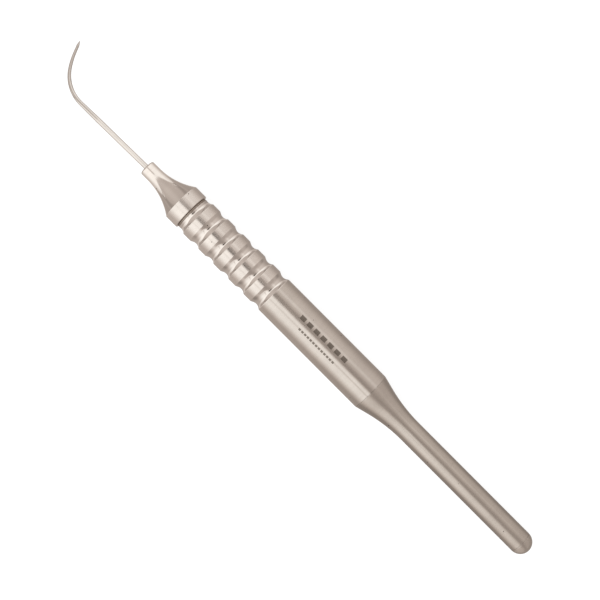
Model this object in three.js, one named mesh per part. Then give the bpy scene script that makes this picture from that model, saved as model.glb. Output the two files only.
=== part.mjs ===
// A dental explorer: a sharp, tapered probe of hard stainless wire, soldered into a round hollow handle.
// Lengths are millimetres. A station is a place along the handle: 0 at the mouth where the probe comes out,
// and positive towards the tail. The object lies as it rests on a table, on its body and on the probe's point.
import * as THREE from "three";

const degrees = THREE.MathUtils.degToRad;

// Handle: radii and stations
const BODY_RADIUS = 5.0;
const LAND_RADIUS = 4.93;
const NECK_RADIUS = 1.98;
const TAIL_RADIUS = 2.88;
const NECK_END = 2.2;
const COLLAR_END = 14.85;
const TUBE_START = 15.38;
const SHOULDER = 74.45;
const PLUG_START = 124.35;

// Nose: a neck that flares into the collar
const FLARE_ARC_RADIUS = 16;
const COLLAR_REAR_CHAMFER = 0.12;
const MOUTH_EDGE_RADIUS = 0.35;

// Finger grooves in the grip tube
const GROOVE_COUNT = 6;
const GROOVE_PITCH = 5.0;
const FIRST_GROOVE = 15.9;
const GROOVE_FLOOR_RADIUS = 4.43;
const GROOVE_ARC_RADIUS = 1.8;
const GROOVE_FRONT_ANGLE = degrees(27);
const GROOVE_REAR_ANGLE = degrees(38);

// Shoulder: a cone that blends into the tail
const CONE_ANGLE = degrees(14.5);
const BLEND_ARC_RADIUS = 40;

// Joints of the handle
const JOINT_SOLDER_RADIUS = 4.46;
const TUBE_BORE_RADIUS = 4.0;
const SPIGOT_LENGTH = 8.0;
const TAIL_BORE_RADIUS = 1.75;
const PLUG_SPIGOT_LENGTH = 4.0;
const SOLDER_CHAMFER = 0.45;
const EDGE_CHAMFER = 0.2;
const FIT_GAP = 0.02;
const CORNER_GAP = 0.08;

// Probe: radii, and lengths measured along the wire from the mouth
const WIRE_RADIUS = 0.63;
const WIRE_RADIUS_AT_POINT = 0.31;
const TIP_RADIUS = 0.07;
const TAPER_START = 16;
const POINT_LENGTH = 1.0;
const TANG_LENGTH = 12.5;
const TANG_CHAMFER = 0.15;
const TANG_BORE_LENGTH = 13.0;
const TANG_BORE_RADIUS = 0.79;
const TANG_SOLDER_START = 0.1;

// Probe: how the wire runs on from the mouth. A turn is positive towards the hook side.
const SHANK_RUN = { length: 21.0, turn: 0 };
const SETTLE_BEND = { length: 0.6, turn: degrees(-0.9) };
const MAIN_BEND = { radius: 9.1, turn: degrees(55.6) };
const EASING_BEND = { radius: 16.8, turn: degrees(13.3) };
const POINT_RUN = { length: 3.15, turn: 0 };

// Facets
const HANDLE_SEGMENTS = 36;
const WIRE_SEGMENTS = 20;
const BEND_STEP = degrees(5);
const MOUTH_STEPS = 3;
const FLARE_STEPS = 9;
const GROOVE_STEPS = 5;
const BLEND_STEPS = 6;
const HEAD_STEPS = 8;

const handleSteel = new THREE.MeshStandardMaterial({ color: 0xb9b1a7, roughness: 0.24, metalness: 1 });
const tailSteel = new THREE.MeshStandardMaterial({ color: 0xaba296, roughness: 0.32, metalness: 1 });
const probeSteel = new THREE.MeshStandardMaterial({ color: 0xc4bfb6, roughness: 0.18, metalness: 1 });
const solder = new THREE.MeshStandardMaterial({ color: 0x6b5f50, roughness: 0.45, metalness: 1 });

// A profile point, from its station and its radius.
function at(station, radius) {
  return new THREE.Vector2(radius, station);
}

// Profile points on an arc. Angles are in degrees: 0 points to the tail and 90 points outwards.
function arc(centreStation, centreRadius, arcRadius, fromAngle, toAngle, steps) {
  const points = [];
  for (let i = 0; i <= steps; i++) {
    const angle = degrees(fromAngle + ((toAngle - fromAngle) * i) / steps);
    points.push(at(centreStation + arcRadius * Math.cos(angle), centreRadius + arcRadius * Math.sin(angle)));
  }
  return points;
}

// A turned piece on the handle's axis. It lies along X, with a flat facet underneath.
function turned(name, profile, material) {
  const geometry = new THREE.LatheGeometry(profile, HANDLE_SEGMENTS, Math.PI / HANDLE_SEGMENTS);
  const mesh = new THREE.Mesh(geometry, material);
  mesh.name = name;
  mesh.rotation.z = -Math.PI / 2;
  return mesh;
}

// A spigot that fills a bore up to a face, from the face to its chamfered end. Direction is 1 or -1.
function spigot(face, length, radius, direction) {
  const end = face + direction * length;
  return [
    at(face, radius),
    at(end - direction * EDGE_CHAMFER, radius),
    at(end, radius - EDGE_CHAMFER),
  ];
}

// Nose cone: blind tang bore, round-edged mouth, neck, flare, collar, and the spigot inside the tube.
function noseCone() {
  const flareTurn = Math.acos(1 - (LAND_RADIUS - NECK_RADIUS) / FLARE_ARC_RADIUS);
  const flareAngle = THREE.MathUtils.radToDeg(flareTurn);
  const flareCentre = NECK_RADIUS + FLARE_ARC_RADIUS;
  const edgeCentre = NECK_RADIUS - MOUTH_EDGE_RADIUS;
  const profile = [
    at(TANG_BORE_LENGTH, 0),
    at(TANG_BORE_LENGTH, TANG_BORE_RADIUS),
    at(0, TANG_BORE_RADIUS),
    ...arc(MOUTH_EDGE_RADIUS, edgeCentre, MOUTH_EDGE_RADIUS, 180, 90, MOUTH_STEPS),
    ...arc(NECK_END, flareCentre, FLARE_ARC_RADIUS, -90, flareAngle - 90, FLARE_STEPS),
    at(COLLAR_END - COLLAR_REAR_CHAMFER, LAND_RADIUS),
    at(COLLAR_END, LAND_RADIUS - COLLAR_REAR_CHAMFER),
    ...spigot(COLLAR_END, SPIGOT_LENGTH, TUBE_BORE_RADIUS - FIT_GAP, 1),
    at(COLLAR_END + SPIGOT_LENGTH, 0),
  ];
  return turned("nose_cone", profile, handleSteel);
}

// One finger groove: straight front wall, round floor, and a rear wall that rises to the given radius. The
// first groove has no front wall, because the tube starts on its floor.
function groove(centre, rearRadius) {
  const cutAngle = Math.asin(Math.min(1, (centre - TUBE_START) / GROOVE_ARC_RADIUS));
  const isWhole = cutAngle > GROOVE_FRONT_ANGLE;
  const frontAngle = THREE.MathUtils.radToDeg(isWhole ? GROOVE_FRONT_ANGLE : cutAngle);
  const rearAngle = THREE.MathUtils.radToDeg(GROOVE_REAR_ANGLE);
  const arcCentre = GROOVE_FLOOR_RADIUS + GROOVE_ARC_RADIUS;
  const floor = arc(centre, arcCentre, GROOVE_ARC_RADIUS, -90 - frontAngle, rearAngle - 90, GROOVE_STEPS);
  const first = floor[0];
  const last = floor[floor.length - 1];
  const front = at(first.y - (LAND_RADIUS - first.x) / Math.tan(GROOVE_FRONT_ANGLE), LAND_RADIUS);
  const rear = at(last.y + (rearRadius - last.x) / Math.tan(GROOVE_REAR_ANGLE), rearRadius);
  return isWhole ? [front, ...floor, rear] : [...floor, rear];
}

// Grip tube: six finger grooves and a plain body on a straight bore, chamfered at the shoulder for the solder.
function gripTube() {
  const profile = [];
  for (let i = 0; i < GROOVE_COUNT; i++) {
    const rearRadius = i < GROOVE_COUNT - 1 ? LAND_RADIUS : BODY_RADIUS;
    profile.push(...groove(FIRST_GROOVE + i * GROOVE_PITCH, rearRadius));
  }
  const rearFace = SHOULDER - FIT_GAP;
  profile.push(
    at(rearFace, BODY_RADIUS),
    at(rearFace, TUBE_BORE_RADIUS + SOLDER_CHAMFER),
    at(rearFace - SOLDER_CHAMFER, TUBE_BORE_RADIUS),
    at(TUBE_START, TUBE_BORE_RADIUS),
  );
  profile.push(profile[0].clone());
  return turned("grip_tube", profile, handleSteel);
}

// Solder between the collar and the tube: a ring that lies below the surface all round.
function frontJointSolder() {
  const inner = TUBE_BORE_RADIUS + FIT_GAP;
  const outer = JOINT_SOLDER_RADIUS;
  const front = COLLAR_END + FIT_GAP;
  const rear = TUBE_START - FIT_GAP;
  const profile = [at(front, inner), at(front, outer), at(rear, outer), at(rear, inner), at(front, inner)];
  return turned("front_joint_solder", profile, solder);
}

// Solder in the tube's rear chamfer: a three-sided ring.
function rearJointSolder() {
  const inner = TUBE_BORE_RADIUS + FIT_GAP;
  const rear = SHOULDER - 2 * FIT_GAP;
  const depth = SOLDER_CHAMFER - CORNER_GAP;
  const profile = [at(rear - depth, inner), at(rear, inner + depth), at(rear, inner), at(rear - depth, inner)];
  return turned("rear_joint_solder", profile, solder);
}

// Tail stem: spigot inside the tube, shoulder cone, blend and tail, bored from end to end.
function tailStem() {
  const rise = BLEND_ARC_RADIUS * (1 - Math.cos(CONE_ANGLE));
  const coneLength = (BODY_RADIUS - TAIL_RADIUS - rise) / Math.tan(CONE_ANGLE);
  const blendEnd = SHOULDER + coneLength + BLEND_ARC_RADIUS * Math.sin(CONE_ANGLE);
  const blendAngle = THREE.MathUtils.radToDeg(CONE_ANGLE);
  const blendCentre = TAIL_RADIUS + BLEND_ARC_RADIUS;
  const profile = [
    at(SHOULDER - SPIGOT_LENGTH, TAIL_BORE_RADIUS),
    ...spigot(SHOULDER, SPIGOT_LENGTH, TUBE_BORE_RADIUS - FIT_GAP, -1).reverse(),
    at(SHOULDER, BODY_RADIUS),
    ...arc(blendEnd, blendCentre, BLEND_ARC_RADIUS, -90 - blendAngle, -90, BLEND_STEPS),
    at(PLUG_START - FIT_GAP, TAIL_RADIUS),
    at(PLUG_START - FIT_GAP, TAIL_BORE_RADIUS),
    at(SHOULDER - SPIGOT_LENGTH, TAIL_BORE_RADIUS),
  ];
  return turned("tail_stem", profile, tailSteel);
}

// End plug: a half-round head, and the spigot that is pressed into the tail's bore.
function endPlug() {
  const spigotRadius = TAIL_BORE_RADIUS - FIT_GAP;
  const profile = [
    at(PLUG_START - PLUG_SPIGOT_LENGTH, 0),
    ...spigot(PLUG_START, PLUG_SPIGOT_LENGTH, spigotRadius, -1).reverse(),
    ...arc(PLUG_START, 0, TAIL_RADIUS, 90, 0, HEAD_STEPS),
  ];
  return turned("end_plug", profile, tailSteel);
}

// Solder sleeve: the film that fills the bore around the probe's tang.
function tangSolder() {
  const inner = WIRE_RADIUS + FIT_GAP;
  const outer = TANG_BORE_RADIUS - FIT_GAP;
  const front = TANG_SOLDER_START;
  const rear = TANG_LENGTH;
  const profile = [at(front, inner), at(front, outer), at(rear, outer), at(rear, inner), at(front, inner)];
  return turned("tang_solder", profile, solder);
}

// The wire's stretches in order from the mouth, each with its length and its turn.
const wireRuns = [
  SETTLE_BEND,
  SHANK_RUN,
  { length: MAIN_BEND.radius * MAIN_BEND.turn, turn: MAIN_BEND.turn },
  { length: EASING_BEND.radius * EASING_BEND.turn, turn: EASING_BEND.turn },
  POINT_RUN,
];
const WIRE_LENGTH = wireRuns.reduce((sum, run) => sum + run.length, 0);

// The wire's centre at a distance from the mouth: how far ahead, how far to the hook side, and its direction.
function wireCentre(distance) {
  let ahead = Math.min(distance, 0);
  let aside = 0;
  let angle = 0;
  let left = Math.max(distance, 0);
  for (const run of wireRuns) {
    const length = Math.min(left, run.length);
    const turn = (run.turn * length) / run.length;
    const chord = turn === 0 ? length : (length * Math.sin(turn / 2)) / (turn / 2);
    ahead += chord * Math.cos(angle + turn / 2);
    aside += chord * Math.sin(angle + turn / 2);
    angle += turn;
    left -= length;
  }
  return { ahead, aside, angle };
}

// The wire's radius at a distance from the mouth: even, then a long taper, then the ground point.
function wireRadius(distance) {
  const pointStart = WIRE_LENGTH - POINT_LENGTH;
  if (distance > pointStart) {
    const share = (distance - pointStart) / POINT_LENGTH;
    return THREE.MathUtils.lerp(WIRE_RADIUS_AT_POINT, TIP_RADIUS, share);
  }
  const share = Math.max(0, distance - TAPER_START) / (pointStart - TAPER_START);
  return THREE.MathUtils.lerp(WIRE_RADIUS, WIRE_RADIUS_AT_POINT, share);
}

// Distances from the mouth at which the wire needs a ring of vertices.
function ringDistances() {
  const marks = [0, TAPER_START, WIRE_LENGTH - POINT_LENGTH];
  let start = 0;
  for (const run of wireRuns) {
    const steps = Math.max(1, Math.round(Math.abs(run.turn) / BEND_STEP));
    for (let i = 1; i <= steps; i++) {
      marks.push(start + (run.length * i) / steps);
    }
    start += run.length;
  }
  return marks.sort((a, b) => a - b);
}

// Working end: the tang, the shank and the hooked, tapered point. It is turned straight, then bent.
function workingEnd() {
  const profile = [
    at(-TANG_LENGTH, 0),
    at(-TANG_LENGTH, WIRE_RADIUS - TANG_CHAMFER),
    at(-TANG_LENGTH + TANG_CHAMFER, WIRE_RADIUS),
    ...ringDistances().map((distance) => at(distance, wireRadius(distance))),
    at(WIRE_LENGTH + TIP_RADIUS / 2, 0),
  ];
  const geometry = new THREE.LatheGeometry(profile, WIRE_SEGMENTS);
  const position = geometry.getAttribute("position");
  for (let i = 0; i < position.count; i++) {
    const across = position.getX(i);
    const centre = wireCentre(position.getY(i));
    const ahead = centre.ahead - across * Math.sin(centre.angle);
    const aside = centre.aside + across * Math.cos(centre.angle);
    position.setXYZ(i, -ahead, aside, position.getZ(i));
  }
  const mesh = new THREE.Mesh(geometry, probeSteel);
  mesh.name = "working_end";
  return mesh;
}

// The roll about the handle's axis that lets the body and the point touch the table together.
function restingRoll() {
  const axisHeight = BODY_RADIUS * Math.cos(Math.PI / HANDLE_SEGMENTS);
  return Math.asin((axisHeight - TIP_RADIUS) / wireCentre(WIRE_LENGTH).aside);
}

const handle = new THREE.Group();
handle.add(noseCone(), frontJointSolder(), gripTube(), rearJointSolder(), tailStem(), endPlug(), tangSolder());

const probe = workingEnd();
probe.rotation.x = -restingRoll();

// The origin is under the middle of the whole object, on the table.
const explorer = new THREE.Group();
explorer.add(handle, probe);
const bounds = new THREE.Box3().setFromObject(explorer, true);
const centre = bounds.getCenter(new THREE.Vector3());
explorer.position.set(-centre.x, -centre.y, -bounds.min.z);

export default explorer;
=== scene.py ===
"""The looks of a dental explorer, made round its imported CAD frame.

Profiles are in millimetres: a station along the handle, 0 at the mouth and positive towards the tail, and a
radius. Everything else is in metres. Every turned piece is made again with true radii and rounded edges.
"""

from math import acos, asin, atan2, ceil, cos, hypot, pi, radians, sin, tan

import bmesh
import bpy
from mathutils import Matrix, Vector


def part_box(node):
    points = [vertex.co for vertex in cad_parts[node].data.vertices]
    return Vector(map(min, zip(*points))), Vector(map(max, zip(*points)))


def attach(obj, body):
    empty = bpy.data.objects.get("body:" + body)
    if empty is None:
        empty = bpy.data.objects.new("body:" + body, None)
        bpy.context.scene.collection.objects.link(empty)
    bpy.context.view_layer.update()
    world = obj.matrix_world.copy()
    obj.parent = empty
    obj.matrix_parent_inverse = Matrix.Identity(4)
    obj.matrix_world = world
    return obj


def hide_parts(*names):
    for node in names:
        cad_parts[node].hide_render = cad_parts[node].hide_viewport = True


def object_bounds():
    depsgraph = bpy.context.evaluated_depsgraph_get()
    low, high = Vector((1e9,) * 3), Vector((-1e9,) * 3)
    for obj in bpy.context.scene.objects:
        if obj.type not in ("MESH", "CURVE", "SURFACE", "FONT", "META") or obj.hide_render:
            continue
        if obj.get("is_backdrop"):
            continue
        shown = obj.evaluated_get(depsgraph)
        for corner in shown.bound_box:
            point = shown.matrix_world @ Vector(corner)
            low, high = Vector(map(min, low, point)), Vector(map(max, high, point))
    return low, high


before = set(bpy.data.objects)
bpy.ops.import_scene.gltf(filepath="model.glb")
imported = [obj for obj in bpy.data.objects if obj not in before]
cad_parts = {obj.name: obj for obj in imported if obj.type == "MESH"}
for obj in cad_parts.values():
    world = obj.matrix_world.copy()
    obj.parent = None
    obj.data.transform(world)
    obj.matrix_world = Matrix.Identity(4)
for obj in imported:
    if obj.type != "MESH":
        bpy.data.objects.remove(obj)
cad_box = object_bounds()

MM = 0.001

# ---------------------------------------------------------------------------------------------------------
# Sizes, as the CAD has them
# ---------------------------------------------------------------------------------------------------------
BODY_RADIUS = 5.0
LAND_RADIUS = 4.93
NECK_RADIUS = 1.98
TAIL_RADIUS = 2.88
NECK_END = 2.2
COLLAR_END = 14.85
TUBE_START = 15.38
SHOULDER = 74.45
PLUG_START = 124.35

FLARE_ARC_RADIUS = 16.0
COLLAR_REAR_CHAMFER = 0.12
MOUTH_EDGE_RADIUS = 0.35

GROOVE_COUNT = 6
GROOVE_PITCH = 5.0
FIRST_GROOVE = 15.9
GROOVE_FLOOR_RADIUS = 4.43
GROOVE_ARC_RADIUS = 1.8
GROOVE_FRONT_ANGLE = radians(27)
GROOVE_REAR_ANGLE = radians(38)

CONE_ANGLE = radians(14.5)
BLEND_ARC_RADIUS = 40.0

JOINT_SOLDER_RADIUS = 4.46
TUBE_BORE_RADIUS = 4.0
SPIGOT_LENGTH = 8.0
TAIL_BORE_RADIUS = 1.75
PLUG_SPIGOT_LENGTH = 4.0
SOLDER_CHAMFER = 0.45
FIT_GAP = 0.02
CORNER_GAP = 0.08

WIRE_RADIUS = 0.63
WIRE_RADIUS_AT_POINT = 0.31
TIP_RADIUS = 0.07
TAPER_START = 16.0
POINT_LENGTH = 1.0
TANG_LENGTH = 12.5
TANG_BORE_LENGTH = 13.0
TANG_BORE_RADIUS = 0.79
WIRE_RUNS = (  # length and turn, from the mouth to the point
    (0.6, radians(-0.9)),
    (21.0, 0.0),
    (9.1 * radians(55.6), radians(55.6)),
    (16.8 * radians(13.3), radians(13.3)),
    (3.15, 0.0),
)
WIRE_LENGTH = sum(length for length, _ in WIRE_RUNS)
CAD_FACETS = 36

# Edges, which the CAD leaves sharp
FINE_EDGE = 0.06
TURNED_EDGE = 0.12
GROOVE_EDGE = 0.22

# Smoothness
TURN_SEGMENTS = 160
WIRE_SEGMENTS = 40
ARC_STEP = radians(4)
FINE_STEP = radians(1.2)
EDGE_STEP = radians(12)
SUPPORT = 0.04
PROBE_STEP = 0.25
SOLDER_HOLLOW = 0.05
TANG_CHAMFER = 0.15


# ---------------------------------------------------------------------------------------------------------
# Frame: the handle's axis and the object's roll about it
# ---------------------------------------------------------------------------------------------------------
def wire_centre(distance):
    """The wire's centre at a distance from the mouth: how far ahead, how far to the hook side, its turn."""
    ahead, aside, angle = min(distance, 0.0), 0.0, 0.0
    left = max(distance, 0.0)
    for run_length, run_turn in WIRE_RUNS:
        length = min(left, run_length)
        turn = run_turn * length / run_length
        chord = length if turn == 0 else length * sin(turn / 2) / (turn / 2)
        ahead += chord * cos(angle + turn / 2)
        aside += chord * sin(angle + turn / 2)
        angle += turn
        left -= length
    return ahead, aside, angle


AXIS_LOW, AXIS_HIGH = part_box("grip_tube")
MOUTH = Vector((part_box("nose_cone")[0].x, (AXIS_LOW.y + AXIS_HIGH.y) / 2, (AXIS_LOW.z + AXIS_HIGH.z) / 2))
ROLL = asin((BODY_RADIUS * cos(pi / CAD_FACETS) - TIP_RADIUS) / wire_centre(WIRE_LENGTH)[1])
TAILWARDS = Vector((1, 0, 0))
HOOKWARDS = Vector((0, cos(ROLL), -sin(ROLL)))
FACING = Vector((0, sin(ROLL), cos(ROLL)))  # square to the plane of the hook


def on_handle(station, aside=0.0, facing=0.0):
    """A point given in millimetres along the handle, to the hook side, and square to the hook's plane."""
    return MOUTH + (TAILWARDS * station + HOOKWARDS * aside + FACING * facing) * MM


# ---------------------------------------------------------------------------------------------------------
# Profiles
# ---------------------------------------------------------------------------------------------------------
def arc(centre_station, centre_radius, arc_radius, start, end, step=ARC_STEP):
    """Points on an arc. Angles are in radians: 0 points to the tail and a quarter turn points outwards."""
    count = max(2, ceil(abs(end - start) / step))
    angles = (start + (end - start) * i / count for i in range(count + 1))
    return [(centre_station + arc_radius * cos(a), centre_radius + arc_radius * sin(a)) for a in angles]


def fillet(before, corner, after, radius):
    """The points that round off a corner."""
    towards = [Vector(before) - Vector(corner), Vector(after) - Vector(corner)]
    reach = [v.length for v in towards]
    a, b = (v.normalized() for v in towards)
    half = a.angle(b) / 2
    run = min(radius / tan(half), 0.49 * min(reach))
    radius = run * tan(half)
    centre = Vector(corner) + (a + b).normalized() * (radius / sin(half))
    start = Vector(corner) + a * run - centre
    end = Vector(corner) + b * run - centre
    turn = atan2(start.x * end.y - start.y * end.x, start.dot(end))
    first = atan2(start.y, start.x)
    return arc(centre.x, centre.y, radius, first, first + turn, EDGE_STEP)


def rounded(points, closed):
    """A profile whose points may have a third number, the radius that rounds them off. Straight stretches get
    a support point near each end, so that smooth shading leaves them straight."""
    outline = []
    for i, point in enumerate(points):
        if len(point) == 2:
            outline.append(point)
            continue
        before, after = points[i - 1], points[(i + 1) % len(points)]
        outline += fillet(before[:2], point[:2], after[:2], point[2])
    supported = []
    ends = outline[1:] + (outline[:1] if closed else [])
    for start, end in zip(outline, ends):
        length = hypot(end[0] - start[0], end[1] - start[1])
        if length < 1e-6:
            continue
        supported.append(start)
        if length > 4 * SUPPORT:
            share = SUPPORT / length
            for t in (share, 1 - share):
                supported.append((start[0] + (end[0] - start[0]) * t, start[1] + (end[1] - start[1]) * t))
    if not closed:
        supported.append(outline[-1])
    return supported


def nose_profile():
    """Blind bore, round-edged mouth, neck, flare, collar, and the spigot inside the tube."""
    turn = acos(1 - (LAND_RADIUS - NECK_RADIUS) / FLARE_ARC_RADIUS)
    flare = arc(NECK_END, NECK_RADIUS + FLARE_ARC_RADIUS, FLARE_ARC_RADIUS, -pi / 2, turn - pi / 2, FINE_STEP)
    edge_centre = NECK_RADIUS - MOUTH_EDGE_RADIUS
    spigot = TUBE_BORE_RADIUS - FIT_GAP
    return rounded(
        [
            (TANG_BORE_LENGTH, 0),
            (TANG_BORE_LENGTH, TANG_BORE_RADIUS),
            (0, TANG_BORE_RADIUS, FINE_EDGE),
            *arc(MOUTH_EDGE_RADIUS, edge_centre, MOUTH_EDGE_RADIUS, pi, pi / 2, EDGE_STEP),
            *flare[:-1],
            (*flare[-1], TURNED_EDGE),
            (COLLAR_END - COLLAR_REAR_CHAMFER, LAND_RADIUS, TURNED_EDGE),
            (COLLAR_END, LAND_RADIUS - COLLAR_REAR_CHAMFER, FINE_EDGE),
            (COLLAR_END, spigot),
            (COLLAR_END + SPIGOT_LENGTH, spigot, FINE_EDGE),
            (COLLAR_END + SPIGOT_LENGTH, 0),
        ],
        closed=False,
    )


def groove(centre, rear_radius):
    """One finger groove: straight front wall, round floor, and a rear wall that rises to the given radius.
    The first groove has no front wall, because the tube starts on its floor."""
    cut_angle = asin(min(1.0, (centre - TUBE_START) / GROOVE_ARC_RADIUS))
    is_whole = cut_angle > GROOVE_FRONT_ANGLE
    floor = arc(
        centre,
        GROOVE_FLOOR_RADIUS + GROOVE_ARC_RADIUS,
        GROOVE_ARC_RADIUS,
        -pi / 2 - min(cut_angle, GROOVE_FRONT_ANGLE),
        -pi / 2 + GROOVE_REAR_ANGLE,
    )
    (first_station, first_radius), (last_station, last_radius) = floor[0], floor[-1]
    rear = (last_station + (rear_radius - last_radius) / tan(GROOVE_REAR_ANGLE), rear_radius, GROOVE_EDGE)
    if not is_whole:
        return [(*floor[0], FINE_EDGE), *floor[1:], rear]
    front_station = first_station - (LAND_RADIUS - first_radius) / tan(GROOVE_FRONT_ANGLE)
    return [(front_station, LAND_RADIUS, GROOVE_EDGE), *floor, rear]


def grip_profile():
    """Six finger grooves and a plain body on a straight bore, chamfered at the shoulder for the solder."""
    rear_face = SHOULDER - FIT_GAP
    points = []
    for i in range(GROOVE_COUNT):
        rear_radius = LAND_RADIUS if i < GROOVE_COUNT - 1 else BODY_RADIUS
        points += groove(FIRST_GROOVE + i * GROOVE_PITCH, rear_radius)
    points += [
        (rear_face, BODY_RADIUS, FINE_EDGE / 2),
        (rear_face, TUBE_BORE_RADIUS + SOLDER_CHAMFER),
        (rear_face - SOLDER_CHAMFER, TUBE_BORE_RADIUS),
        (TUBE_START, TUBE_BORE_RADIUS),
    ]
    return rounded(points, closed=True)


def tail_profile():
    """Spigot inside the tube, shoulder cone, blend and tail, bored from end to end."""
    rise = BLEND_ARC_RADIUS * (1 - cos(CONE_ANGLE))
    cone_length = (BODY_RADIUS - TAIL_RADIUS - rise) / tan(CONE_ANGLE)
    blend_end = SHOULDER + cone_length + BLEND_ARC_RADIUS * sin(CONE_ANGLE)
    blend = arc(
        blend_end,
        TAIL_RADIUS + BLEND_ARC_RADIUS,
        BLEND_ARC_RADIUS,
        -pi / 2 - CONE_ANGLE,
        -pi / 2,
        FINE_STEP,
    )
    spigot = TUBE_BORE_RADIUS - FIT_GAP
    rear_face = PLUG_START - FIT_GAP
    return rounded(
        [
            (SHOULDER - SPIGOT_LENGTH, TAIL_BORE_RADIUS),
            (SHOULDER - SPIGOT_LENGTH, spigot, FINE_EDGE),
            (SHOULDER, spigot),
            (SHOULDER, BODY_RADIUS, TURNED_EDGE),
            *blend,
            (rear_face, TAIL_RADIUS, FINE_EDGE),
            (rear_face, TAIL_BORE_RADIUS),
        ],
        closed=True,
    )


def plug_profile():
    """A half-round head, and the spigot that is pressed into the tail's bore."""
    spigot = TAIL_BORE_RADIUS - FIT_GAP
    head = arc(PLUG_START, 0, TAIL_RADIUS, pi / 2, 0, radians(3))
    return rounded(
        [
            (PLUG_START - PLUG_SPIGOT_LENGTH, 0),
            (PLUG_START - PLUG_SPIGOT_LENGTH, spigot, FINE_EDGE),
            (PLUG_START, spigot),
            (*head[0], FINE_EDGE),
            *head[1:],
        ],
        closed=False,
    )


def joint_solder_profile():
    """The ring between the collar and the tube, with a hollow outer face, as solder sets in a joint."""
    inner = TUBE_BORE_RADIUS + FIT_GAP
    outer = JOINT_SOLDER_RADIUS
    front, rear = COLLAR_END + FIT_GAP, TUBE_START - FIT_GAP
    face = [(front, outer), ((front + rear) / 2, outer - SOLDER_HOLLOW), (rear, outer)]
    return [(front, inner), *face, (rear, inner)]


def shoulder_solder_profile():
    """The three-sided ring in the tube's rear chamfer."""
    inner = TUBE_BORE_RADIUS + FIT_GAP
    rear = SHOULDER - 2 * FIT_GAP
    depth = SOLDER_CHAMFER - CORNER_GAP
    return [(rear - depth, inner), (rear, inner + depth), (rear, inner)]


def mouth_solder_profile():
    """The sleeve round the tang, with a hollow meniscus at the mouth."""
    inner, outer = WIRE_RADIUS + FIT_GAP, TANG_BORE_RADIUS - FIT_GAP
    meniscus = [(0.02, inner), (0.1, (inner + outer) / 2), (0.06, outer)]
    return [*meniscus, (TANG_LENGTH, outer), (TANG_LENGTH, inner)]


# ---------------------------------------------------------------------------------------------------------
# Meshes
# ---------------------------------------------------------------------------------------------------------
def finished(name, vertices, faces, node, slot, *materials):
    """A smooth mesh object that stands for a CAD node."""
    mesh = bpy.data.meshes.new(name)
    mesh.from_pydata(vertices, [], faces)
    shape = bmesh.new()
    shape.from_mesh(mesh)
    bmesh.ops.remove_doubles(shape, verts=shape.verts, dist=1e-8)
    bmesh.ops.recalc_face_normals(shape, faces=shape.faces)
    shape.to_mesh(mesh)
    shape.free()
    mesh.shade_smooth()
    for material in materials:
        mesh.materials.append(material)
    piece = bpy.data.objects.new(name, mesh)
    bpy.context.scene.collection.objects.link(piece)
    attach(piece, "root")
    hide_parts(node)
    return piece


def rings_to_faces(rings, closed):
    """Quads between rings of vertex numbers. A ring of one vertex is a pole."""
    faces = []
    pairs = list(zip(rings, rings[1:])) + ([(rings[-1], rings[0])] if closed else [])
    for lower, upper in pairs:
        count = max(len(lower), len(upper))
        for i in range(count):
            j = (i + 1) % count
            corners = [lower[i % len(lower)], lower[j % len(lower)]]
            corners += [upper[j % len(upper)], upper[i % len(upper)]]
            faces.append(list(dict.fromkeys(corners)))
    return faces


def turned(name, profile, node, slot, *materials, closed=True):
    """A piece turned about the handle's axis."""
    vertices, rings = [], []
    for station, radius in profile:
        count = TURN_SEGMENTS if radius > 1e-6 else 1
        rings.append(range(len(vertices), len(vertices) + count))
        for i in range(count):
            angle = 2 * pi * i / count
            vertices.append(on_handle(station, radius * sin(angle), radius * cos(angle)))
    return finished(name, vertices, rings_to_faces(rings, closed), node, slot, *materials)


def wire_radius(distance):
    """Even, then a long taper, then the ground point."""
    point_start = WIRE_LENGTH - POINT_LENGTH
    if distance > point_start:
        share = (distance - point_start) / POINT_LENGTH
        return WIRE_RADIUS_AT_POINT + (TIP_RADIUS - WIRE_RADIUS_AT_POINT) * share
    share = max(0.0, distance - TAPER_START) / (point_start - TAPER_START)
    return WIRE_RADIUS + (WIRE_RADIUS_AT_POINT - WIRE_RADIUS) * share


def probe(material):
    """The tang, the shank and the hooked point: rings square to the wire's bent centre line."""
    count = ceil(WIRE_LENGTH / PROBE_STEP)
    tang = [(0.0, 0.0), (0.0, WIRE_RADIUS - TANG_CHAMFER), (TANG_CHAMFER, WIRE_RADIUS)]
    tang = [(along - TANG_LENGTH, radius) for along, radius in tang]
    shank = [(WIRE_LENGTH * i / count, wire_radius(WIRE_LENGTH * i / count)) for i in range(count + 1)]
    tip = [(WIRE_LENGTH + TIP_RADIUS * sin(a), TIP_RADIUS * cos(a)) for a in (radians(30), radians(60))]
    vertices, rings = [], []
    for distance, radius in [*tang, *shank, *tip, (WIRE_LENGTH + TIP_RADIUS, 0.0)]:
        ring = WIRE_SEGMENTS if radius > 1e-6 else 1
        rings.append(range(len(vertices), len(vertices) + ring))
        ahead, aside, turn = wire_centre(distance)
        for i in range(ring):
            angle = 2 * pi * i / ring
            across, out = radius * cos(angle), radius * sin(angle)
            vertices.append(on_handle(-(ahead - across * sin(turn)), aside + across * cos(turn), out))
    return finished("probe", vertices, rings_to_faces(rings, False), "working_end", "probe_steel", material)


# ---------------------------------------------------------------------------------------------------------
# Materials
# ---------------------------------------------------------------------------------------------------------
def add(tree, kind, inputs=(), **settings):
    """A shader node with its inputs, by name or by number, linked or set."""
    made = tree.nodes.new(kind)
    for name, value in settings.items():
        setattr(made, name, value)
    for name, value in dict(inputs).items():
        if isinstance(value, bpy.types.NodeSocket):
            tree.links.new(value, made.inputs[name])
        else:
            made.inputs[name].default_value = value
    return made


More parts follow.
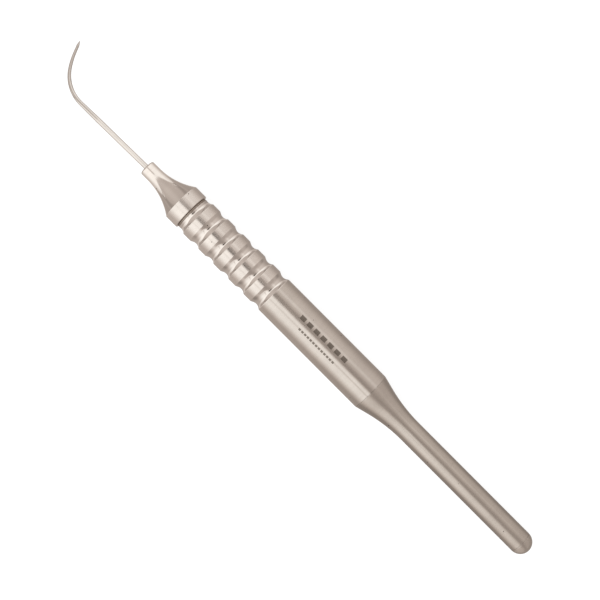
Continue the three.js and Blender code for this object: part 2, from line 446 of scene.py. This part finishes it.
def noise(tree, place, scale, detail=3.0, stretch=(1, 1, 1)):
    """Noise with a scale in cells per metre, from 0 to 1."""
    vector = add(tree, "ShaderNodeMapping", {"Vector": place, "Scale": stretch}).outputs["Vector"]
    inputs = {"Vector": vector, "Scale": scale, "Detail": detail}
    return add(tree, "ShaderNodeTexNoise", inputs).outputs["Fac"]


def spread(tree, value, from_low, from_high, low, high):
    """A value spread from one range to another, and kept inside it."""
    inputs = {"Value": value, "From Min": from_low, "From Max": from_high, "To Min": low, "To Max": high}
    return add(tree, "ShaderNodeMapRange", inputs).outputs["Result"]


def combined(tree, operation, *values):
    """Two or three values put together by a Math node."""
    return add(tree, "ShaderNodeMath", dict(enumerate(values)), operation=operation).outputs["Value"]


def mixed_colour(tree, share, first, second):
    """A colour between two colours or colour sockets."""
    made = add(tree, "ShaderNodeMix", data_type="RGBA")
    sockets = {socket.identifier: socket for socket in [*made.inputs, *made.outputs]}
    tree.links.new(share, sockets["Factor_Float"])
    for name, value in (("A_Color", first), ("B_Color", second)):
        if isinstance(value, bpy.types.NodeSocket):
            tree.links.new(value, sockets[name])
        else:
            sockets[name].default_value = (*value, 1)
    return sockets["Result_Color"]


def between(tree, value, low, high, edge):
    """1 where a value lies between two limits and 0 outside them, with a soft edge."""
    rise = spread(tree, value, low - edge, low + edge, 0, 1)
    fall = spread(tree, value, high - edge, high + edge, 1, 0)
    return combined(tree, "MULTIPLY", rise, fall)


def handle_places(tree):
    """Millimetres along the handle, to the hook side and towards the facing side, as value sockets."""
    place = add(tree, "ShaderNodeNewGeometry").outputs["Position"]
    local = add(tree, "ShaderNodeVectorMath", {0: place, 1: MOUTH}, operation="SUBTRACT").outputs["Vector"]
    return [
        add(tree, "ShaderNodeVectorMath", {0: local, 1: axis / MM}, operation="DOT_PRODUCT").outputs["Value"]
        for axis in (TAILWARDS, HOOKWARDS, FACING)
    ]


def dashes(tree, places, stations, asides, pitch, length):
    """A row of etched dashes along the handle, on its facing side."""
    station, aside, facing = places
    start, end = stations
    phase = combined(tree, "WRAP", station, start + pitch, start)
    row = between(tree, phase, start, start + length, 0.03)
    row = combined(tree, "MULTIPLY", row, between(tree, station, start - 0.1, end + 0.1, 0.01))
    row = combined(tree, "MULTIPLY", row, between(tree, aside, *asides, 0.03))
    return combined(tree, "MULTIPLY", row, combined(tree, "GREATER_THAN", facing, 0.0))


def etched_mark(tree):
    """A plain laser-etched mark on the body: a bold row of dashes over a fine one, with no lettering."""
    places = handle_places(tree)
    bold = dashes(tree, places, (50.4, 65.2), (0.45, 1.55), 2.22, 1.5)
    fine = dashes(tree, places, (52.0, 63.6), (-1.62, -1.12), 0.9, 0.6)
    return combined(tree, "MAXIMUM", bold, fine)


def steel(name, colour, roughness, anisotropy, line_depth, line_stretch=(75, 1, 1), mark=None):
    """Turned stainless steel: fine lines round the handle, smudges, streaks, hairline scratches and pits."""
    material = bpy.data.materials.new(name)
    material.use_nodes = True
    tree = material.node_tree
    shader = tree.nodes["Principled BSDF"]
    place = add(tree, "ShaderNodeTexCoord").outputs["Object"]

    lines = noise(tree, place, 120, 3, line_stretch)
    streaks = noise(tree, place, 120, 2, [share / 6 for share in line_stretch])
    smudges = noise(tree, place, 240, 4)
    scratches = noise(tree, place, 300, 1, (1, 14, 14))
    cells = add(tree, "ShaderNodeTexVoronoi", {"Vector": place, "Scale": 330}, feature="F1")
    pits = spread(tree, cells.outputs["Distance"], 0.035, 0.055, 1, 0)

    dull = [share * 0.93 for share in colour]
    tint = mixed_colour(tree, spread(tree, smudges, 0.35, 0.65, 0, 1), colour, dull)
    tint = mixed_colour(tree, spread(tree, streaks, 0.4, 0.6, 0, 0.5), tint, dull)
    tint = mixed_colour(tree, pits, tint, PIT_COLOUR)
    rough = spread(tree, smudges, 0.35, 0.65, roughness * 0.92, roughness * 1.08)
    rough = combined(tree, "MULTIPLY", rough, spread(tree, streaks, 0.4, 0.6, 0.94, 1.06))
    if mark:
        etched = mark(tree)
        tint = mixed_colour(tree, etched, tint, ETCHED_COLOUR)
        rough = combined(tree, "ADD", rough, combined(tree, "MULTIPLY", etched, ETCHED_ROUGHNESS))
    height = combined(tree, "ADD", lines, spread(tree, scratches, 0.7, 0.74, 0, -SCRATCH_DEPTH))
    height = combined(tree, "SUBTRACT", height, pits)
    bump = add(tree, "ShaderNodeBump", {"Height": height, "Strength": 1.0, "Distance": line_depth})

    tree.links.new(tint, shader.inputs["Base Color"])
    tree.links.new(rough, shader.inputs["Roughness"])
    tree.links.new(bump.outputs["Normal"], shader.inputs["Normal"])
    shader.inputs["Metallic"].default_value = 1.0
    if anisotropy:
        shader.inputs["Anisotropic"].default_value = anisotropy
        shader.inputs["Anisotropic Rotation"].default_value = 0.25
        tangent = add(tree, "ShaderNodeTangent", direction_type="RADIAL", axis="X")
        tree.links.new(tangent.outputs["Tangent"], shader.inputs["Tangent"])
    return material


PIT_COLOUR = (0.12, 0.10, 0.09)
SCRATCH_DEPTH = 0.5  # as a share of the lines' depth
ETCHED_COLOUR = (0.27, 0.24, 0.21)
ETCHED_ROUGHNESS = 0.25
EVEN = (20, 20, 20)

body_steel = steel("body_steel", (0.70, 0.651, 0.602), 0.20, 0.8, 2e-6, mark=etched_mark)
land_steel = steel("land_steel", (0.81, 0.757, 0.709), 0.21, 0.86, 1.5e-6)
groove_steel = steel("groove_steel", (0.82, 0.768, 0.722), 0.045, 0.0, 2e-7)
nose_steel = steel("nose_steel", (0.80, 0.747, 0.70), 0.11, 0.5, 6e-7)
tail_steel = steel("tail_steel", (0.70, 0.65, 0.597), 0.24, 0.8, 3e-6)
probe_steel = steel("probe_steel", (0.72, 0.68, 0.64), 0.16, 0.0, 1e-6, EVEN)
solder = steel("solder", (0.42, 0.36, 0.31), 0.45, 0.0, 1.5e-6, EVEN)


def in_groove(station, radius):
    """Whether a place on the grip lies on a groove's polished floor or walls."""
    return TUBE_START < station < LAST_GROOVE_END and TUBE_BORE_RADIUS < radius < LAND_RADIUS - 0.04


def grip_finish(station, radius):
    """Which of the grip's materials a place takes: the body's, the lands' or the grooves'."""
    if station > LAST_GROOVE_END:
        return 0
    return 2 if in_groove(station, radius) else 1


LAST_GROOVE_END = FIRST_GROOVE + (GROOVE_COUNT - 1) * GROOVE_PITCH + GROOVE_PITCH / 3

nose = turned("nose", nose_profile(), "nose_cone", "handle_steel", nose_steel, land_steel, closed=False)
for face in nose.data.polygons:
    middle = (face.center - MOUTH) / MM
    face.material_index = int(hypot(middle.y, middle.z) > LAND_RADIUS - 0.08)
grip = turned("grip", grip_profile(), "grip_tube", "handle_steel", body_steel, land_steel, groove_steel)
for face in grip.data.polygons:
    middle = (face.center - MOUTH) / MM
    face.material_index = grip_finish(middle.x, hypot(middle.y, middle.z))
turned("tail", tail_profile(), "tail_stem", "tail_steel", tail_steel)
turned("plug", plug_profile(), "end_plug", "tail_steel", tail_steel, closed=False)
turned("collar_solder", joint_solder_profile(), "front_joint_solder", "solder", solder)
turned("shoulder_solder", shoulder_solder_profile(), "rear_joint_solder", "solder", solder)
turned("mouth_solder", mouth_solder_profile(), "tang_solder", "solder", solder)
probe(probe_steel)


# ---------------------------------------------------------------------------------------------------------
# Studio: the light tent that the steel reflects, the floor, the light and the camera
# ---------------------------------------------------------------------------------------------------------
CAMERA_STATION = 47.53
CAMERA_ASIDE = 3.5
CAMERA_DISTANCE = 300.0
PANEL_DISTANCE = 150.0
ROOM_RADIUS = 450.0
PANEL_STATIONS = (-110, 210)
OPENING_DISTANCE = 140.0
OPENING_STATION = 17.0
OPENING_ASIDE = 1.5
OPENING_RADIUS = 17.0
OPENING_TAIL = 1.6
WHITE_LIGHT = Vector((1.02, 1.0, 0.975))
WARM_LIGHT = Vector((1.134, 1.0, 0.92))
SLOT_LEVEL = 0.37
SLOT_LEVEL_ROUND_OPENING = 0.23  # makes up for the opening in the satin steel
KEY_LEVEL = 0.80
FILL_LEVEL = 0.48


def smooth(value, low, high):
    """0 below low, 1 above high, and smooth between. Low may be above high."""
    t = min(1.0, max(0.0, (value - low) / (high - low)))
    return t * t * (3 - 2 * t)


def band(value, start, full, fade, end):
    """0 outside start and end, 1 from full to fade, and smooth between."""
    return smooth(value, start, full) * smooth(value, end, fade)


def mix(first, second, share):
    return first + (second - first) * share


def handle_light(around, station):
    """What the body and the tail reflect: a key light on one side, with a bar across it, a weaker fill on
    the other, and a dim slot between them. Both lights weaken towards the tail and end past it."""
    near_tail = smooth(station, 95, 135)
    past_tail = smooth(station, 150, 185)
    ending = 1 - smooth(station, 155, 183)
    key = (KEY_LEVEL - 0.27 * smooth(station, 40, 135)) * ending
    fill = (FILL_LEVEL - 0.24 * smooth(station, 60, 135)) * ending
    key_start = -1 + 8 * (near_tail + past_tail)
    onset = band(around, key_start, 15 + 14 * near_tail + 20 * past_tail, 53, 105)
    bar_centre = 33 - 3.5 * smooth(station, 20, 60)
    bar = band(around, bar_centre - 6, bar_centre - 1, bar_centre + 1, bar_centre + 6)
    bar *= 0.2 + 0.22 * smooth(station, 30, 55) - 0.42 * near_tail
    round_opening = band(around, -9, -5, 5, 9) * band(station, -28, -4, 38, 62)
    slot = SLOT_LEVEL + SLOT_LEVEL_ROUND_OPENING * round_opening
    level = mix(slot, room_light(around), 1 - ending) + key * (onset - bar)
    level += (0.13 - 0.12 * smooth(station, 30, 110)) * band(around, 70, 100, 120, 200)
    level -= 0.09 * smooth(station, 90, 120) * smooth(abs(around), 85, 115) * ending
    fill_shape = 0.68 * band(around, -135, -60, -34, -5) + 0.32 * band(around, -54, -43, -38, -31)
    return level + fill * fill_shape


def room_light(around):
    """The dim room past the tail."""
    return 0.36 + 0.18 * band(around, 5, 50, 90, 150) + 0.10 * band(around, -120, -70, -25, 0)


def nose_light(around, station):
    """What the neck and the shank reflect: light nearly all round, with a thin dim line in it."""
    level = 0.70 + 0.455 * band(around, -118, -56, 58, 116) + 0.08 * smooth(around, 0, 12)
    level -= 0.13 * smooth(abs(around), 92, 125)
    return level - 0.55 * band(around, -22, -6, 0, 6) * smooth(station, -36, -22)


def nose_room(around):
    """What the flare reflects: the room past the front lights, with a dark streak at table height."""
    level = 0.54 + 0.08 * band(around, -40, 15, 30, 70)
    return level - 0.18 * band(abs(around), 72, 90, 98, 112) - 0.12 * smooth(abs(around), 102, 120)


def tail_room(around):
    """What the tail's round end reflects."""
    return 0.37 + 0.12 * band(around, -120, -70, -25, 0)


def studio_glow(around, station):
    """The light that comes through a place at the panels' distance, from its angle round the handle in
    degrees and its station."""
    level = handle_light(around, station)
    level = mix(level, nose_light(around, station), smooth(station, -7, -16))
    front_edge = -45 - 48 * smooth(abs(around), 15, 90) + 55 * smooth(abs(around), 85, 125)
    level = mix(level, nose_room(around), smooth(station, front_edge, front_edge - 8))
    level = mix(level, tail_room(around), smooth(station, 400, 600))
    return mix(WARM_LIGHT, WHITE_LIGHT, smooth(level, 0.3, 1.2)) * level


def glowing(name):
    """A material that shines with the colours painted on its mesh."""
    material = bpy.data.materials.new(name)
    material.use_nodes = True
    material.cycles.emission_sampling = "NONE"
    tree = material.node_tree
    tree.nodes.clear()
    paint = add(tree, "ShaderNodeAttribute", attribute_name="glow").outputs["Color"]
    glow = add(tree, "ShaderNodeEmission", {"Color": paint, "Strength": 1.0})
    out = add(tree, "ShaderNodeOutputMaterial")
    tree.links.new(glow.outputs["Emission"], out.inputs["Surface"])
    return material


def reflected_sheet(name, place, glow, columns, rows):
    """A grid that shows only in the steel's reflections. Its points and its glow come from functions of two
    shares from 0 to 1."""
    vertices, faces, colours = [], [], []
    for i in range(columns + 1):
        for j in range(rows + 1):
            vertices.append(place(i / columns, j / rows))
            colours.append((*glow(i / columns, j / rows), 1.0))
    for i in range(columns):
        for j in range(rows):
            corner = i * (rows + 1) + j
            faces.append((corner, corner + 1, corner + rows + 2, corner + rows + 1))
    mesh = bpy.data.meshes.new(name)
    mesh.from_pydata(vertices, [], faces)
    paint = mesh.color_attributes.new("glow", "FLOAT_COLOR", "POINT")
    for item, colour in zip(paint.data, colours):
        item.color = colour
    mesh.materials.append(glowing(name))
    sheet = bpy.data.objects.new(name, mesh)
    bpy.context.scene.collection.objects.link(sheet)
    sheet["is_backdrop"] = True
    sheet.visible_camera = False
    sheet.visible_diffuse = False
    sheet.visible_shadow = False
    sheet.visible_transmission = False
    sheet.visible_volume_scatter = False
    return sheet


def round_handle(around, station, distance):
    """A point at an angle round the handle from the facing direction, positive away from the hook side."""
    angle = radians(around)
    return on_handle(station, -distance * sin(angle), distance * cos(angle))


def room():
    """The dim room that closes the studio off all round. It carries the panels' light on past their edges."""

    def place(i, j):
        along = pi * (j - 0.5)
        station = CAMERA_STATION + ROOM_RADIUS * sin(along)
        return round_handle(360 * (i - 0.5), station, ROOM_RADIUS * cos(along))

    def glow(i, j):
        along = radians(179.8 * (j - 0.5))
        return studio_glow(360 * (i - 0.5), CAMERA_STATION + PANEL_DISTANCE * tan(along))

    return reflected_sheet("room", place, glow, 144, 96)


def panels():
    """The light panels: a tube round the handle."""
    front, rear = PANEL_STATIONS

    def place(i, j):
        return round_handle(360 * (i - 0.5), mix(front, rear, j), PANEL_DISTANCE)

    def glow(i, j):
        return studio_glow(360 * (i - 0.5), mix(front, rear, j))

    return reflected_sheet("panels", place, glow, 240, 108)


def opening():
    """A dark opening in front of the panels, round with a narrow tail. Each groove mirrors it as a dot."""

    def place(i, j):
        angle = 2 * pi * i
        out = OPENING_RADIUS * j * (1 + OPENING_TAIL * smooth(sin(angle), 0.95, 1.0))
        station = OPENING_STATION + out * cos(angle)
        return on_handle(station, OPENING_ASIDE + out * sin(angle), OPENING_DISTANCE)

    return reflected_sheet("opening", place, lambda i, j: (0, 0, 0), 96, 1)


def floor():
    """A plain, near-white floor. It shines a little, so that only a faint shadow lies under the object."""
    size = 3.0
    mesh = bpy.data.meshes.new("floor")
    level = -0.00003
    corners = [(-size, -size, level), (size, -size, level), (size, size, level), (-size, size, level)]
    mesh.from_pydata(corners, [], [(0, 1, 2, 3)])
    material = bpy.data.materials.new("floor")
    material.use_nodes = True
    shader = material.node_tree.nodes["Principled BSDF"]
    shader.inputs["Base Color"].default_value = (0.15, 0.15, 0.15, 1)
    shader.inputs["Roughness"].default_value = 1.0
    shader.inputs["Specular IOR Level"].default_value = 0.0
    shader.inputs["Emission Color"].default_value = (1, 1, 1, 1)
    shader.inputs["Emission Strength"].default_value = 0.9
    material.cycles.emission_sampling = "NONE"
    mesh.materials.append(material)
    plane = bpy.data.objects.new("floor", mesh)
    bpy.context.scene.collection.objects.link(plane)
    plane.visible_glossy = False
    plane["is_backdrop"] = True
    return plane


def studio_light():
    """One large soft light overhead, for the floor."""
    data = bpy.data.lights.new("overhead", "AREA")
    data.shape = "DISK"
    data.size = 1.6
    data.energy = 12.0
    lamp = bpy.data.objects.new("overhead", data)
    lamp.location = (0, 0, 1.2)
    lamp.visible_glossy = False
    bpy.context.scene.collection.objects.link(lamp)
    return lamp


def pale_world():
    world = bpy.data.worlds.new("studio")
    world.use_nodes = True
    background = world.node_tree.nodes["Background"]
    background.inputs["Color"].default_value = (1, 1, 1, 1)
    background.inputs["Strength"].default_value = 1.0
    bpy.context.scene.world = world


def camera():
    """Looks square at the hook's plane, turned so that the handle runs from upper left to lower right."""
    data = bpy.data.cameras.new("camera")
    view_width = 141.2
    data.sensor_width = 36.0
    data.lens = data.sensor_width * CAMERA_DISTANCE / view_width
    data.clip_start = 0.01
    data.clip_end = 20.0
    slope = radians(45.08)
    right = TAILWARDS * cos(slope) + HOOKWARDS * sin(slope)
    up = HOOKWARDS * cos(slope) - TAILWARDS * sin(slope)
    eye = on_handle(CAMERA_STATION, CAMERA_ASIDE, CAMERA_DISTANCE)
    turn = Matrix((right, up, FACING)).transposed().to_4x4()
    made = bpy.data.objects.new("camera", data)
    made.matrix_world = Matrix.Translation(eye) @ turn
    bpy.context.scene.collection.objects.link(made)
    bpy.context.scene.camera = made


room()
panels()
opening()
floor()
studio_light()
pale_world()
camera()
bpy.context.scene.view_settings.view_transform = "Standard"

boxes = {"cad": cad_box, "visual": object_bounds()}
{name: [list(corner) for corner in box] for name, box in boxes.items()}
